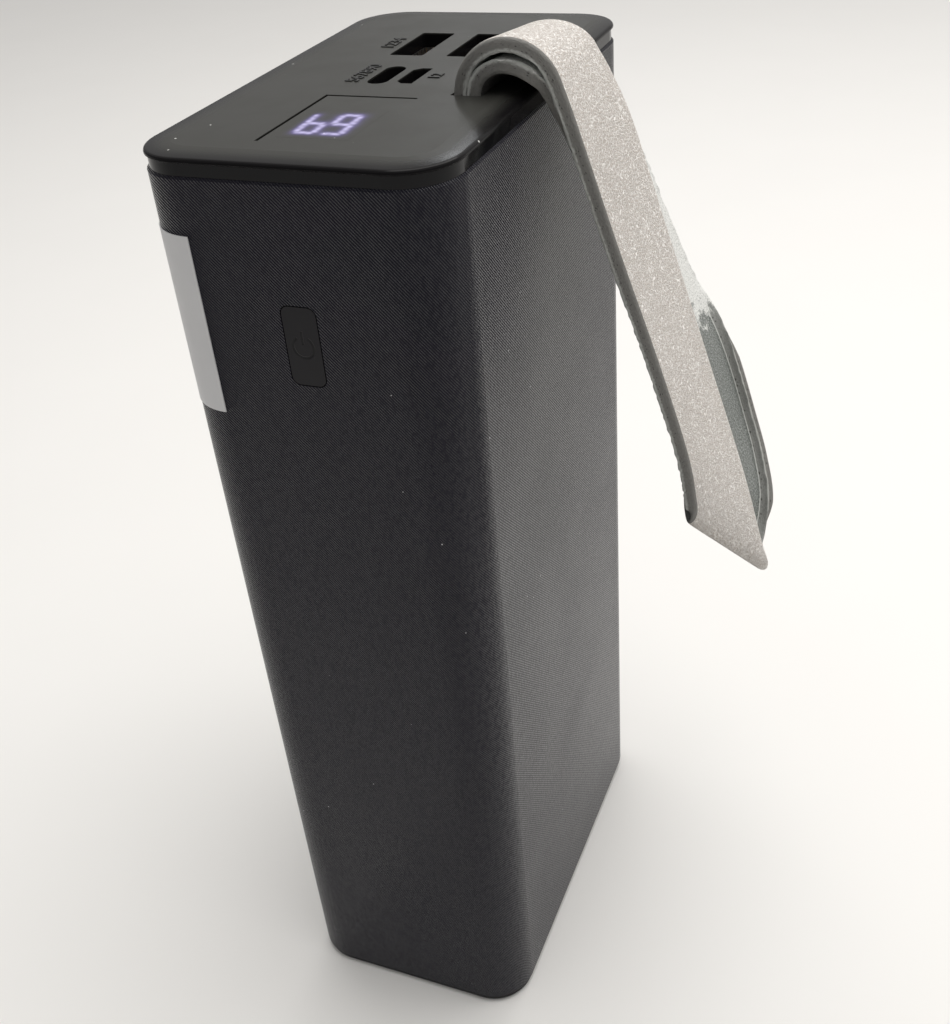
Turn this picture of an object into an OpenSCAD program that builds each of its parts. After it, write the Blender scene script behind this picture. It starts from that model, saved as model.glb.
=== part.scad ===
// Tall pocket power bank: a sleeved battery pack with a ported top cover, a side button and a leather hand strap.
// Millimetres. The origin is the middle of the underside, +Z is up, -Y is the narrow face with the button.

/* [Body] */
// Room between the cells and the sleeve on each long side
side_room = 1.1; // [1:0.1:6]
// Least room between the cells and the sleeve at each end
end_room = 2.7; // [2.6:0.1:8]
// Height for the electronics, from the cells to the flat top
electronics_h = 38.3; // [36:0.1:60]
// Radius of the four upright corners
corner_r = 7.7; // [6:0.1:9]
// Wall of the sleeve
wall = 1.8; // [1.2:0.1:1.9]
// Gap left all round between pieces that plug into each other
fit = 0.1; // [0.05:0.01:0.15]

/* [Top cover] */
// Height of the glossy band under the cover
band_h = 1.6; // [1:0.1:3]
// How far the band sits back from the sleeve
band_inset = 0.35; // [0.2:0.05:0.8]
// Height of the cover's upright edge and bevel above the band
cover_rim = 1.1; // [1:0.1:1.6]
// Width of the shallow bevel round the flat top
bevel_w = 3.6; // [2:0.1:4.2]
// Drop of the bevel from the flat top to the rim
bevel_drop = 0.35; // [0.2:0.05:0.5]
// Thickness of the cover over the electronics
cover_t = 2; // [1.6:0.1:2.4]
// Width of the engraved corner line beside the display
groove_w = 0.5; // [0.3:0.05:1]
// Depth of the engraved corner line
groove_depth = 0.6; // [0.3:0.1:1]

/* [Base] */
// Height of the base cap's visible rim
base_rim = 1.6; // [1.2:0.1:2.4]
// How far the rim sits back from the sleeve
base_inset = 0.4; // [0.2:0.05:0.8]

/* [Cells] */
// Diameter of one cell
cell_d = 18.4; // [18:0.1:18.5]
// Length of one cell
cell_len = 65.2; // [64:0.1:65.4]
// Rows of cells, two cells to a row
cell_rows = 6; // [3:1:6]

/* [Ports] */
// From the rear face to the middle of the USB-A sockets
usb_a_inset = 21.6; // [20:0.1:23]
// Middle of the two small sockets, along the depth
small_port_y = -0.95; // [-2:0.05:0]
// Thickness of the circuit board that stands between the sockets
board_t = 1.2; // [1:0.1:1.6]
// From the front face to the middle of the display
display_inset = 14.4; // [13:0.1:16]

/* [Button] */
// Width of the power button
button_w = 5; // [4:0.1:6]
// Height of the power button
button_h = 11.1; // [8:0.1:12]
// Height of the button's middle above the cells
button_up = 14.2; // [13:0.1:16]
// Travel of the button
button_travel = 0.35; // [0.2:0.05:0.4]

/* [Strap] */
// Width of the leather strap
strap_w = 20.4; // [16:0.2:21]
// Thickness of the leather
strap_t = 1.9; // [1.4:0.1:2.1]
// From the body's side to the middle of the strap's slot
strap_inset = 8.2; // [7.6:0.1:9]
// Middle of the strap's slot, along the depth
strap_y = 1.2; // [0:0.1:2]

/* [Label] */
// Height of the blank label round the front left corner
label_h = 25.2; // [15:0.2:30]
// From the flat top down to the label's lower edge
label_drop = 35.5; // [32:0.5:60]
// Thickness of the label
label_t = 0.15; // [0.1:0.05:0.3]

/* [Hidden] */
$fn = 48;

// Levels from the bottom up
floor_z = base_rim + 0.6;
base_skirt = 4;
cradle_z = base_rim + base_skirt + fit;
row_gap = 0.6;
row_pitch = cell_d + row_gap;
cradle_edge = 1;
cradle_gap = 0.3;
cradle_h = cell_rows * row_pitch + 2 * cradle_edge;
tray_z = cradle_z + cradle_h;
tray_t = 1.5;
body_h = tray_z + electronics_h;
cover_z = body_h - cover_rim;
band_z = cover_z - band_h;
ceiling_z = body_h - cover_t;

// Plan sizes: the cells and the room round them set the inside, and the wall goes round that
col_gap = 1;
inner_r = corner_r - wall;
inner_w = 2 * cell_d + col_gap + 2 * side_room;
corner_room = inner_r - sqrt(2 * inner_r * side_room - side_room * side_room) + 0.2;
inner_d = cell_len + 2 * max(end_room, corner_room);
body_w = inner_w + 2 * wall;
body_d = inner_d + 2 * wall;
skirt_t = 1.4;
mouth_inset = wall + fit + skirt_t;
mouth_w = body_w - 2 * mouth_inset;
mouth_d = body_d - 2 * mouth_inset;
mouth_r = corner_r - mouth_inset;
plug_t = 1.2;
skirt_h = 7.3;
skirt_z = band_z - skirt_h;

// Snap hooks
hook_w = 6;
hook_bite = 0.6;
hook_y = 18;
clip_bite = 0.5;
clip_len = 8;
clip_z = base_rim + 1.6;

// Cell pack
col_pitch = cell_d + col_gap;
cradle_depth = 11;
cradle_lip = 0.8;
strip_t = 0.2;
paper_t = 0.3;
pack_end = cell_len / 2 + cradle_lip;
bore_clear = 0.05;

// Strap: two layers side by side in the slot, clamped against a rib
strap_x = body_w / 2 - strap_inset;
layer_gap = 0.1;
outer_layer_x = strap_x - layer_gap / 2 - strap_t / 2;
inner_layer_x = strap_x + layer_gap / 2 + strap_t / 2;
slot_gap = 0.25;
rib_t = 2.2;
rib_x = strap_x - strap_t - layer_gap / 2 - slot_gap;
strap_end_z = body_h - 9.5;
clamp_t = 1.2;
clamp_h = 5;
clamp_z = strap_end_z + 0.7;
clamp_x = strap_x + strap_t + layer_gap / 2;
strap_screw_y = 5.2;
strap_hole_r = 1.1;
screw_r = 0.85;
head_r = 1.9;

// Crest of each layer over the slot: half width and half height of the arch, at the near and far edges
bend_z = body_h - 0.4;
outer_bend = 7.75 - strap_t / 2;
inner_bend = 5.0 - strap_t / 2;
outer_bend_x = outer_layer_x + outer_bend;
inner_bend_x = inner_layer_x + inner_bend;
outer_far_rx = 6.1;
outer_far_rz = 4.2;
inner_far_rz = outer_far_rz - strap_t - layer_gap;

// Circuit board: the right socket stands beside the strap's rib, and the board between the sockets
shell_t = 0.3;
usb_a = [5.1, 12.5];
leg_left = 0.5;
leg_right = 1.65;
board_right = rib_x - rib_t - 0.7 - usb_a[0] - 2 * shell_t - leg_right;
board_left = board_right - board_t;
board_x = board_right - board_t / 2;
board_z = tray_z + tray_t + 0.9;
board_top = ceiling_z - 2;
board_reach = cell_len / 2 + 0.9;
screw_z = board_z + 5;
screw_y = 24;
post_t = 5;

// Sockets
usb_a_deep = 12.6;
usb_a_y = body_d / 2 - usb_a_inset;
usb_a_x = [board_left - leg_left - usb_a[0] / 2 - shell_t, board_right + leg_right + usb_a[0] / 2 + shell_t];
usb_c = [2.66, 8.34];
usb_c_deep = 6.8;
usb_c_x = board_left - usb_c[0] / 2 - shell_t;
micro = [2, 6.9];
micro_deep = 5.2;
micro_x = board_right + micro[0] / 2 + shell_t;
shell_top = ceiling_z - 0.1;

// Display
display = [12, 14, 4.4];
display_at = [0.9, display_inset - body_d / 2];
display_z = ceiling_z - 1.3;
window = [10.4, 12];
window_t = 0.9;
shade_t = 0.8;
sub_board_t = 1;
sub_board_z = display_z - display[2] - sub_board_t;

// Button and switch
button_z = tray_z + button_up;
button_gap = 0.15;
button_r = 1.15;
button_x = 0.1;
flange_t = 0.9;
flange_lip = 1.2;
flange_play = 0.05;
flange_back = -inner_d / 2 + flange_play + flange_t;
switch_face = flange_back + button_travel + 0.25;
switch_deep = 3;
switch_back = switch_face + switch_deep;
plunger_r = 0.9;
plunger_in = 0.7;

// Parts on the board
inductor = [11, 11, 5.8];
inductor_y = 7.5;
inductor_up = 11;
capacitor_r = 3.1;
capacitor_len = 7;
capacitor_y = 17.5;
capacitor_up = [4, 12];
chip_t = 0.9;

// Line engraved round two sides of the display's corner, from the display's middle
line_left = 7;
line_up = 11.3;
line_run = [13.6, 19];

// Label
label_z = body_h - label_drop;
label_front = 7.7;
label_side = 30.1;

// ---- Shapes used by several pieces ----

// Flat rounded rectangle, w along X and d along Y, centred.
module rounded_rect(w, d, r) {
    square([w - 2 * r, d], center = true);
    square([w, d - 2 * r], center = true);
    for (i = [-1, 1], j = [-1, 1])
        translate([i * (w / 2 - r), j * (d / 2 - r)]) circle(r);
}

// Upright block with rounded corners, from z up to z + h.
module rounded_block(w, d, r, z, h) {
    translate([0, 0, z]) linear_extrude(h) rounded_rect(w, d, r);
}

// Both halves of a profile of [inset, height] pairs, for a piece whose side stands at half.
function whole_profile(half, edge) = concat([for (p = edge) [half - p[0], p[1]]],
    [for (i = [len(edge) - 1 : -1 : 0]) [edge[i][0] - half, edge[i][1]]]);

// One half of the same profile, closed at the axis.
function half_profile(half, edge) = concat([[0, edge[0][1]]], [for (p = edge) [half - p[0], p[1]]],
    [[0, edge[len(edge) - 1][1]]]);

// Block with rounded corners whose rim follows a profile of [inset, height] pairs.
module profiled_block(w, d, r, edge) {
    for (i = [-1, 1], j = [-1, 1])
        translate([i * (w / 2 - r), j * (d / 2 - r), 0]) rotate_extrude() polygon(half_profile(r, edge));
    rotate([90, 0, 0]) linear_extrude(d - 2 * r, center = true) polygon(whole_profile(w / 2, edge));
    rotate([90, 0, 90]) linear_extrude(w - 2 * r, center = true) polygon(whole_profile(d / 2, edge));
}

// Quarter turn of a fillet, as [inset, height] pairs from the side up to the top.
function rim_round(r, z) = [for (a = [0 : 22.5 : 90]) [r - r * cos(a), z + r * sin(a)]];

// Bar with a wedge profile along one side: bite deep, run long, facing +X from the plane x = 0.
module wedge(bite, rise, run) {
    rotate([90, 0, 0]) linear_extrude(run, center = true) polygon([[0, 0], [bite, 0], [bite, 0.4], [0, rise]]);
}

// Places its children on both long sides, facing outwards, at each place of ys.
module on_sides(x, ys) {
    for (y = ys) {
        translate([x, y, 0]) children();
        translate([-x, y, 0]) mirror([1, 0, 0]) children();
    }
}

// ---- Housing ----

// The four clips of the base cap, also the pockets that they snap into when grown by gap.
module base_clips(gap) {
    on_sides(inner_w / 2 - fit, [-hook_y, hook_y])
        translate([0, 0, clip_z - gap]) wedge(clip_bite + fit + gap, 1.6 + 2 * gap, clip_len + 2 * gap);
}

module sleeve() {
    edge = [[0.25, base_rim], [0, base_rim + 0.25], [0, band_z - 0.3], [0.3, band_z]];
    color("#3a3a3f") difference() {
        profiled_block(body_w, body_d, corner_r, edge);
        rounded_block(inner_w, inner_d, inner_r, base_rim - 1, body_h);
        translate([button_x, -body_d / 2, button_z]) rotate([90, 0, 0])
            linear_extrude(4 * wall, center = true)
                rounded_rect(button_w + 2 * button_gap, button_h + 2 * button_gap, button_r + button_gap);
        base_clips(fit);
    }
}

module base_cap() {
    edge = concat([[0.8, 0]], [for (a = [22.5 : 22.5 : 90]) [0.8 - 0.8 * sin(a), 0.8 - 0.8 * cos(a)]],
        [[0, base_rim]]);
    rim_w = body_w - 2 * base_inset;
    rim_d = body_d - 2 * base_inset;
    color("#2c2c30") {
        difference() {
            union() {
                profiled_block(rim_w, rim_d, corner_r - base_inset, edge);
                rounded_block(inner_w - 2 * fit, inner_d - 2 * fit, inner_r - fit, base_rim, base_skirt);
                base_clips(0);
            }
            rounded_block(mouth_w, mouth_d, mouth_r, floor_z, 20);
            // Slots either side of each clip, so that it can spring in
            on_sides(inner_w / 2 - fit, [-hook_y - clip_len / 2 - 1, -hook_y + clip_len / 2 + 1,
                hook_y - clip_len / 2 - 1, hook_y + clip_len / 2 + 1])
                translate([0, 0, floor_z + 5]) cube([4, 1, 10], center = true);
        }
        // Stiffening ribs across the floor
        for (y = [-2, -1, 0, 1, 2] * inner_d / 6)
            translate([0, y, floor_z]) cube([mouth_w, 1.2, 1], center = true);
    }
}

module neck_ring() {
    edge = [[0, band_z], [0, cover_z]];
    color("#17171a") difference() {
        union() {
            profiled_block(body_w - 2 * band_inset, body_d - 2 * band_inset, corner_r - band_inset, edge);
            rounded_block(inner_w - 2 * fit, inner_d - 2 * fit, inner_r - fit, skirt_z, band_z - skirt_z);
        }
        rounded_block(mouth_w, mouth_d, mouth_r, skirt_z - 1, body_h);
    }
}

// Plan of each socket's opening, with its corners as on the real socket.
module usb_a_plan(grow) {
    rounded_rect(usb_a[0] + 2 * grow, usb_a[1] + 2 * grow, 0.3 + grow);
}

module usb_c_plan(grow) {
    rounded_rect(usb_c[0] + 2 * grow, usb_c[1] + 2 * grow, usb_c[0] / 2 + grow - 0.01);
}

// Micro socket: flat on its outer side, with two cut corners towards the board.
module micro_plan(grow) {
    x = micro[0] / 2 + grow;
    y = micro[1] / 2 + grow;
    polygon([[x, -y], [x, y], [-x + 1, y], [-x, y - 1], [-x, -y + 1], [-x + 1, -y]]);
}

module port_openings() {
    translate([0, 0, ceiling_z - 5]) {
        for (x = usb_a_x) translate([x, usb_a_y, 0]) linear_extrude(10) usb_a_plan(0.1);
        translate([usb_c_x, small_port_y, 0]) linear_extrude(10) usb_c_plan(0.2);
        translate([micro_x, small_port_y, 0]) linear_extrude(10) micro_plan(0.3);
    }
}

// The line engraved round two sides of the display's corner.
module corner_line() {
    x = display_at[0] - line_left;
    y = display_at[1] + line_up;
    translate([x, y - line_run[1], body_h - groove_depth]) cube([groove_w, line_run[1], 2]);
    translate([x, y, body_h - groove_depth]) cube([line_run[0], groove_w, 2]);
}

module strap_slot(gap, z, h) {
    depth = 2 * strap_t + layer_gap + 2 * gap;
    translate([strap_x, strap_y, z]) linear_extrude(h) square([depth, strap_w + 2 * gap], center = true);
}

// Cover: a shallow crowned plate, a plug that drops into the neck ring, and four hooks that catch its skirt.
module top_cover() {
    edge = concat([[0.25, cover_z], [0, cover_z + 0.2]], rim_round(0.5, body_h - bevel_drop - 0.5),
        [[bevel_w, body_h]]);
    plug_z = cover_z - 2.5;
    color("#4a4a4e") difference() {
        union() {
            profiled_block(body_w, body_d, corner_r, edge);
            difference() {
                rounded_block(mouth_w - 2 * fit, mouth_d - 2 * fit, mouth_r - fit, plug_z, cover_z - plug_z);
                rounded_block(mouth_w - 2 * fit - 2 * plug_t, mouth_d - 2 * fit - 2 * plug_t, mouth_r - fit - plug_t,
                    plug_z - 1, ceiling_z - plug_z + 1);
            }
            rounded_block(mouth_w - 2 * fit - 2 * plug_t + 0.2, mouth_d - 2 * fit - 2 * plug_t + 0.2,
                mouth_r - fit - plug_t, ceiling_z, body_h - ceiling_z - bevel_drop);
            on_sides(mouth_w / 2 - fit, [-hook_y, hook_y]) cover_hook(plug_z);
            // Rib that the strap is clamped against
            translate([rib_x - rib_t, strap_y - strap_w / 2 - 2, strap_end_z])
                cube([rib_t, strap_w + 4, ceiling_z - strap_end_z]);
        }
        port_openings();
        corner_line();
        strap_slot(slot_gap, strap_end_z - 1, 20);
        // Thin window over the display
        translate([display_at[0], display_at[1], ceiling_z - 1])
            linear_extrude(body_h - window_t - ceiling_z + 1) square(window, center = true);
        for (y = [-1, 1] * strap_screw_y)
            translate([rib_x, strap_y + y, clamp_z + clamp_h / 2]) rotate([0, 90, 0])
                cylinder(h = 8, r = screw_r, center = true);
    }
}

// One cantilever hook of the cover, hanging from the plug, with its barb under the ring's skirt.
module cover_hook(plug_z) {
    arm_z = skirt_z - 1.6;
    translate([-plug_t, -hook_w / 2, arm_z]) cube([plug_t, hook_w, plug_z - arm_z + 0.5]);
    translate([0, 0, skirt_z - fit]) mirror([0, 0, 1]) wedge(hook_bite, 1.5, hook_w);
}

// Blank label that wraps the front left corner.
module side_label() {
    color("#c9c9cb") intersection() {
        difference() {
            rounded_block(body_w + 2 * label_t, body_d + 2 * label_t, corner_r + label_t, label_z, label_h);
            rounded_block(body_w, body_d, corner_r, label_z - 1, label_h + 2);
        }
        translate([-body_w, -body_d, 0]) cube([body_w / 2 + label_front, body_d / 2 + label_side, body_h]);
    }
}

// ---- Cell pack ----

function cell_places() = [for (i = [-0.5, 0.5], k = [0 : cell_rows - 1])
    [i * col_pitch, cradle_z + cradle_edge + (k + 0.5) * row_pitch]];

// Cradle at one end of the cells: a bore for each cell, a lip that stops it and webs cut away between bores.
module cell_cradle() {
    depth = cradle_depth + cradle_lip;
    difference() {
        intersection() {
            translate([-body_w / 2, -pack_end, cradle_z]) cube([body_w, depth, cradle_h]);
            rounded_block(inner_w - 2 * cradle_gap, inner_d - 2 * cradle_gap, inner_r - cradle_gap, cradle_z,
                cradle_h);
        }
        for (p = cell_places()) {
            translate([p[0], -pack_end + cradle_lip, p[1]]) rotate([-90, 0, 0])
                cylinder(h = depth, r = cell_d / 2 + bore_clear);
            translate([p[0], -pack_end - 1, p[1]]) rotate([-90, 0, 0]) cylinder(h = depth, r = cell_d / 2 - 2);
        }
        // Notches in the sides between rows, for glue and to save plastic
        for (k = [1 : cell_rows - 1], i = [-1, 1])
            translate([i * inner_w / 2, -pack_end + depth / 2, cradle_z + cradle_edge + k * row_pitch])
                rotate([90, 0, 0]) cylinder(h = depth + 2, r = 3, center = true);
    }
}

module cell_cradle_front() {
    color("#1f1f22") cell_cradle();
}

module cell_cradle_rear() {
    color("#1f1f22") mirror([0, 1, 0]) cell_cradle();
}

// Cells with a rolled groove near the positive end and a raised button.
module battery_cells() {
    r = cell_d / 2;
    half = cell_len / 2;
    outline = [[0, -half], [r - 0.8, -half], [r, -half + 0.8], [r, half - 5], [r - 0.5, half - 4.4],
        [r - 0.5, half - 3.8], [r, half - 3.2], [r, half - 1.6], [r - 0.8, half - 0.8], [3.2, half - 0.8],
        [2.8, half], [0, half]];
    color("#2f6fae") for (p = cell_places())
        translate([p[0], 0, p[1]]) rotate([-90, 0, 0]) rotate_extrude() polygon(outline);
}

// Nickel strip: a ladder over all cells with a round pad that dips to each one, and a tab for the lead.
module cell_strip() {
    color("#b9b6ac") {
        translate([0, -pack_end - strip_t, 0]) {
            for (p = cell_places()) {
                translate([p[0], 0, p[1]]) rotate([-90, 0, 0]) cylinder(h = strip_t + cradle_lip, r = 3);
                translate([p[0], strip_t / 2, p[1]]) cube([7, strip_t, row_pitch], center = true);
            }
            for (k = [0 : cell_rows - 1])
                translate([0, strip_t / 2, cradle_z + cradle_edge + (k + 0.5) * row_pitch])
                    cube([col_pitch, strip_t, 6], center = true);
            translate([-col_pitch / 2 - 3, 0, tray_z - row_pitch / 2]) cube([6, strip_t, row_pitch / 2 + 3]);
        }
    }
}

module cell_strip_front() {
    cell_strip();
}

module cell_strip_rear() {
    mirror([0, 1, 0]) cell_strip();
}

module insulator() {
    color("#5f7a54") translate([0, -pack_end - strip_t - paper_t, cradle_z + cradle_h / 2]) rotate([-90, 0, 0])
        linear_extrude(paper_t) rounded_rect(inner_w - 5, cradle_h, 2);
}

module insulator_front() {
    insulator();
}

module insulator_rear() {
    mirror([0, 1, 0]) insulator();
}

// Foam: one strip under each cradle and one at each end of the pack.
module foam_pads() {
    end_gap = inner_d / 2 - pack_end - strip_t - paper_t;
    rib_top = floor_z + 0.5;
    color("#3b3b3b") for (j = [-1, 1]) {
        translate([0, j * (pack_end - cradle_depth / 2), (rib_top + cradle_z) / 2])
            cube([inner_w - 10, 6, cradle_z - rib_top - 0.04], center = true);
        translate([0, j * (inner_d / 2 - end_gap / 2), cradle_z + cradle_h / 2])
            cube([inner_w - 12, end_gap - 0.1, cradle_h * 0.6], center = true);
    }
}

// ---- Electronics ----

// Tray on top of the cradles: floor, two bosses that the board screws to, and four corner posts.
module board_tray() {
    half_w = inner_w / 2 - 0.4;
    color("#26262a") difference() {
        union() {
            rounded_block(2 * half_w, 2 * (cell_len / 2 - 1.2), 3, tray_z, tray_t);
            for (y = [-1, 1] * screw_y)
                translate([board_left - post_t, y - 3, tray_z]) cube([post_t, 6, screw_z + 3 - tray_z]);
            for (i = [-1, 1], j = [-1, 1])
                translate([i * (half_w - 1.5), j * (cell_len / 2 - 5.2), tray_z + (skirt_z - tray_z) / 2])
                    cube([3, 4, skirt_z - tray_z], center = true);
        }
        for (y = [-1, 1] * screw_y)
            translate([board_left - 2, y, screw_z]) rotate([0, 90, 0]) cylinder(h = 5, r = 0.8, center = true);
        // Windows over the cells, to let air and wires through
        for (i = [-1, 1], j = [-1, 0, 1])
            translate([i * 11, j * 15, tray_z]) cylinder(h = 10, r = 5, center = true);
    }
}

// Upright board with a lower tab at each end for the leads and a notch under the display.
module circuit_board() {
    head_y = display_at[1] + display[1] / 2 + 1.2;
    tab_z = board_z + 8;
    shoulder_y = usb_a_y + 7.5;
    shoulder_z = board_top - 13;
    outline = [[-board_reach, board_z], [board_reach, board_z], [board_reach, tab_z], [-switch_back, tab_z],
        [-switch_back, shoulder_z], [shoulder_y, shoulder_z], [shoulder_y, board_top], [head_y, board_top],
        [head_y, sub_board_z], [switch_back, sub_board_z], [switch_back, tab_z], [-board_reach, tab_z]];
    color("#1d6b3c") difference() {
        translate([board_left, 0, 0]) rotate([90, 0, 90]) linear_extrude(board_t) polygon(outline);
        for (y = [-1, 1] * screw_y)
            translate([board_x, y, screw_z]) rotate([0, 90, 0]) cylinder(h = 4, r = 1.15, center = true);
    }
}

module board_screws() {
    color("#c8c8cc") for (y = [-1, 1] * screw_y)
        translate([0, y, screw_z]) rotate([0, 90, 0]) {
            translate([0, 0, board_right]) cylinder(h = 1.2, r = head_r);
            translate([0, 0, board_left - 4]) cylinder(h = 4 + board_t, r = 0.8);
        }
}

// Lead from the strip's tab up to the board's lower tab, with one bend.
module lead(colour) {
    r = 0.8;
    bend = 3;
    x = -col_pitch / 2;
    y = -pack_end + r;
    turn_z = board_z + 3.5;
    color(colour) {
        translate([x, y, tray_z + 0.2]) cylinder(h = turn_z - tray_z - 0.2, r = r);
        translate([x + bend, y, turn_z]) rotate([90, 0, 0]) rotate([0, 0, 90])
            rotate_extrude(angle = 90) translate([bend, 0]) circle(r);
        translate([x + bend, y, turn_z + bend]) rotate([0, 90, 0]) cylinder(h = board_left - x - bend, r = r);
    }
}

module positive_lead() {
    mirror([0, 1, 0]) lead("#b02a24");
}

module negative_lead() {
    lead("#151515");
}

// Parts on the right face of the board.
module power_inductors() {
    color("#3c3c40") for (y = [-1, 1] * inductor_y)
        translate([board_right, y, board_z + inductor_up]) rotate([0, 90, 0]) {
            linear_extrude(inductor[2]) rounded_rect(inductor[0], inductor[1], 2);
            linear_extrude(0.4) rounded_rect(inductor[0] + 1.4, 5, 1);
        }
}

module capacitors() {
    color("#a8abb0") for (y = [-1, 1] * capacitor_y, z = capacitor_up)
        translate([board_right, y, board_z + z]) rotate([0, 90, 0]) {
            cylinder(h = capacitor_len, r = capacitor_r);
            translate([0, 0, 0.3]) cube([2 * capacitor_r + 0.2, 2 * capacitor_r + 0.2, 0.6], center = true);
        }
}

// Chips on the left face of the board.
module control_chips() {
    color("#101012") for (p = [[-12, 6, 5], [0, 8, 7], [11, 6, 5], [0, 17, 3]])
        translate([board_left - chip_t, p[0] - p[2] / 2, board_z + p[1] - p[2] / 2]) cube([chip_t, p[2], p[2]]);
}

// ---- Sockets ----

// Bent metal shell round a plan, open at the top, closed at the back by the socket's own body.
module usb_a_shell(x, leg) {
    color("#b4b6ba") {
        translate([x, usb_a_y, shell_top - usb_a_deep]) difference() {
            linear_extrude(usb_a_deep) usb_a_plan(shell_t);
            translate([0, 0, -1]) linear_extrude(usb_a_deep + 2) usb_a_plan(0);
        }
        for (y = [-4.5, 4.5])
            translate([leg > 0 ? x + usb_a[0] / 2 + shell_t - 0.05 : x - usb_a[0] / 2 - shell_t - abs(leg),
                usb_a_y + y - 0.6, shell_top - 9]) cube([abs(leg) + 0.05, 1.2, 2]);
    }
}

// Insulator block at the foot of the socket with the tongue that carries the contacts.
module usb_a_tongue(x) {
    foot = 3.2;
    gap = 0.03;
    color("#1b1b1d") translate([x, usb_a_y, shell_top - usb_a_deep]) {
        linear_extrude(foot) usb_a_plan(-gap);
        translate([usb_a[0] / 2 - 0.4 - 1.84, -5.55, foot - 0.5]) cube([1.84, 11.1, usb_a_deep - foot - 0.6]);
    }
    color("#c9a85a") for (y = [-3.5, -1, 1, 3.5])
        translate([x + usb_a[0] / 2 - 2.32, usb_a_y + y - 0.5, shell_top - usb_a_deep + foot - 0.2])
            cube([0.12, 1, usb_a_deep - foot - 1.9]);
}

module usb_a_shell_left() {
    usb_a_shell(usb_a_x[0], leg_left);
}

module usb_a_shell_right() {
    usb_a_shell(usb_a_x[1], -leg_right);
}

module usb_a_tongue_left() {
    usb_a_tongue(usb_a_x[0]);
}

module usb_a_tongue_right() {
    usb_a_tongue(usb_a_x[1]);
}

module usb_c_shell() {
    color("#b4b6ba") translate([usb_c_x, small_port_y, shell_top - usb_c_deep]) difference() {
        linear_extrude(usb_c_deep) usb_c_plan(shell_t);
        translate([0, 0, -1]) linear_extrude(usb_c_deep + 2) usb_c_plan(0);
    }
}

module usb_c_tongue() {
    color("#1b1b1d") translate([usb_c_x, small_port_y, shell_top - usb_c_deep]) {
        linear_extrude(1.8) usb_c_plan(-0.03);
        translate([-0.35, -3.3, 1.5]) cube([0.7, 6.6, usb_c_deep - 2]);
    }
}

module micro_usb_shell() {
    color("#b4b6ba") translate([micro_x, small_port_y, shell_top - micro_deep]) difference() {
        linear_extrude(micro_deep) micro_plan(shell_t);
        translate([0, 0, -1]) linear_extrude(micro_deep + 2) micro_plan(0);
    }
}

module micro_usb_tongue() {
    color("#1b1b1d") translate([micro_x, small_port_y, shell_top - micro_deep]) {
        linear_extrude(1.4) micro_plan(-0.03);
        translate([0.1, -1.8, 1.2]) cube([0.6, 3.6, micro_deep - 1.6]);
    }
}

// ---- Display ----

module display_module() {
    color("#d8d8dc") translate([display_at[0], display_at[1], display_z - display[2]])
        linear_extrude(display[2]) square([display[0], display[1]], center = true);
}

// Frame between the display and the window, so that light from one digit doesn't spread under the cover.
module display_shade() {
    h = body_h - window_t - display_z;
    color("#18181a") translate([display_at[0], display_at[1], display_z]) linear_extrude(h) difference() {
        square(window - [0.2, 0.2], center = true);
        square(window - [0.2 + 2 * shade_t, 0.2 + 2 * shade_t], center = true);
    }
}

module display_board() {
    color("#1d6b3c") translate([display_at[0], display_at[1], sub_board_z])
        linear_extrude(sub_board_t) rounded_rect(display[0] + 4, display[1] + 2, 1);
}

// Pin header that carries the display board on the main board.
module display_header() {
    color("#1b1b1d") translate([board_right, display_at[1] - 5.4, sub_board_z - 2.5]) cube([2.4, 10.8, 2.5]);
    color("#c9a85a") for (k = [-1.5 : 1 : 1.5])
        translate([board_right + 0.9, display_at[1] + k * 2.54 - 0.3, sub_board_z - 6]) cube([0.6, 0.6, 4]);
}

// ---- Button ----

module tact_switch() {
    color("#c4c6ca") difference() {
        translate([button_x - 1.75, switch_face, button_z - 3]) cube([3.5, switch_deep, 6]);
        translate([button_x, switch_face, button_z]) rotate([90, 0, 0])
            cylinder(h = 2 * (plunger_in + 0.5), r = plunger_r + 0.1, center = true);
    }
}

// Button cap flush with the sleeve, with a flange behind the wall that keeps it captive.
module power_button() {
    color("#36363a") translate([button_x, 0, button_z]) rotate([90, 0, 0]) {
        translate([0, 0, -flange_back]) linear_extrude(body_d / 2 + flange_back)
            rounded_rect(button_w, button_h, button_r);
        translate([0, 0, -flange_back]) linear_extrude(flange_t)
            rounded_rect(button_w + 2 * flange_lip, button_h + 2 * flange_lip, button_r + flange_lip);
    }
}

module switch_plunger() {
    color("#7d2f2a") translate([button_x, flange_back, button_z]) rotate([-90, 0, 0])
        cylinder(h = switch_face - flange_back + plunger_in, r = plunger_r);
}

// ---- Strap ----

// Middle line of both layers over the crest. A station is [near edge point, far edge point]; the far side of each
// arch is pulled flatter than the near side, because the loop hangs lower there.
near_y = strap_y - strap_w / 2;
far_y = strap_y + strap_w / 2;
function arc_station(a, x, near, far_x, far, slide) = [
    [x + near[0] * cos(a), near_y + slide, bend_z + near[1] * sin(a)],
    [far_x + far[0] * cos(a), far_y + slide, bend_z + far[1] * sin(a)]];
function outer_station(a) = arc_station(a, outer_bend_x, [outer_bend, outer_bend], outer_layer_x + outer_far_rx,
    [outer_far_rx, outer_far_rz], 0);
function inner_station(a) = arc_station(a, inner_bend_x, [a > 90 ? inner_bend : inner_bend + 1.45, inner_bend],
    inner_bend_x, [a > 90 ? inner_bend : inner_bend + 0.2, inner_far_rz], 2 * max(0, 1 - a / 45));

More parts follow.
